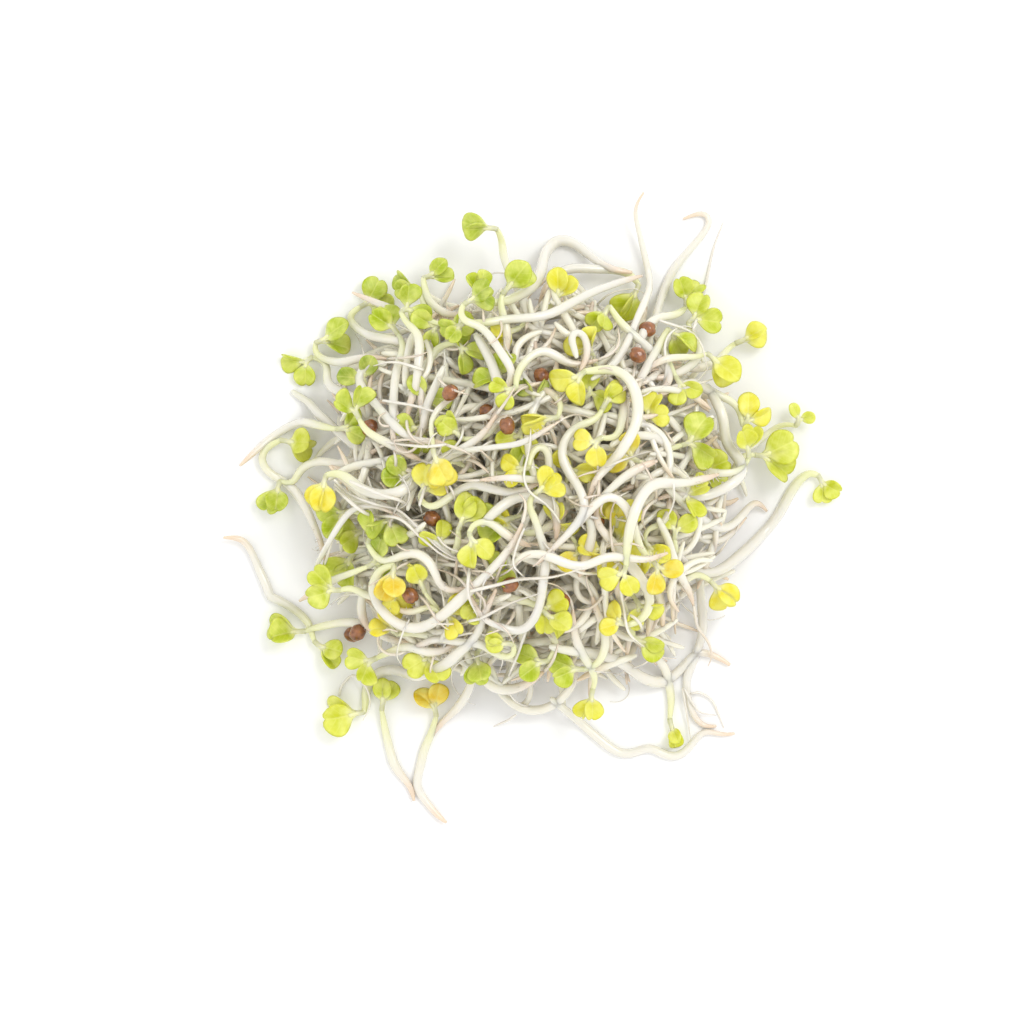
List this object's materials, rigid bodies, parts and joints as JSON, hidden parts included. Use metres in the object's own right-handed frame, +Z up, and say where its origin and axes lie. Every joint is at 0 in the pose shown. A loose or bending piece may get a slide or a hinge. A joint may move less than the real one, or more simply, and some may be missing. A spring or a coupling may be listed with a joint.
{
  "type": "heap of sprouts",
  "caption": "Loose tangled heap of fresh salad sprouts: curved white stems with roots, small notched yellow-green seed leaves and loose brown seed coats, lying on a flat surface.",
  "frame": {"origin": "on the surface the heap lies on, under the middle of its outline, at the middle of a flat strip pressed into the lowest stem", "axes": "+Z up out of the heap; +Y towards the top of the heap as seen from above, +X to its right, along the lowest stem"},
  "size_m": [0.0774, 0.079, 0.0211],
  "materials": {
    "stem": "moist, waxy and slightly see-through, cream white",
    "leaf": "soft satin, yellow green",
    "seed": "smooth, slightly glossy, red brown"
  },
  "bodies": {
    "root": {"leaves_01": "leaf", "leaves_02": "leaf", "leaves_03": "leaf", "leaves_04": "leaf", "leaves_05": "leaf", "leaves_06": "leaf", "leaves_07": "leaf", "leaves_08": "leaf", "leaves_09": "leaf", "leaves_10": "leaf", "leaves_11": "leaf", "leaves_12": "leaf", "leaves_13": "leaf", "leaves_14": "leaf", "leaves_15": "leaf", "leaves_16": "leaf", "leaves_17": "leaf", "leaves_18": "leaf", "leaves_19": "leaf", "leaves_20": "leaf", "leaves_21": "leaf", "leaves_22": "leaf", "leaves_23": "leaf", "leaves_24": "leaf", "leaves_25": "leaf", "leaves_26": "leaf", "leaves_27": "leaf", "leaves_28": "leaf", "leaves_29": "leaf", "leaves_30": "leaf", "leaves_31": "leaf", "leaves_32": "leaf", "leaves_33": "leaf", "leaves_34": "leaf", "leaves_35": "leaf", "leaves_36": "leaf", "leaves_37": "leaf", "leaves_38": "leaf", "seed_1": "seed", "seed_2": "seed", "seed_3": "seed", "seed_4": "seed", "seed_5": "seed", "seed_6": "seed", "seed_7": "seed", "stems_01": "stem", "stems_02": "stem", "stems_03": "stem", "stems_04": "stem", "stems_05": "stem", "stems_06": "stem", "stems_07": "stem", "stems_08": "stem", "stems_09": "stem", "stems_10": "stem", "stems_11": "stem", "stems_12": "stem", "stems_13": "stem"}
  },
  "joints": []
}
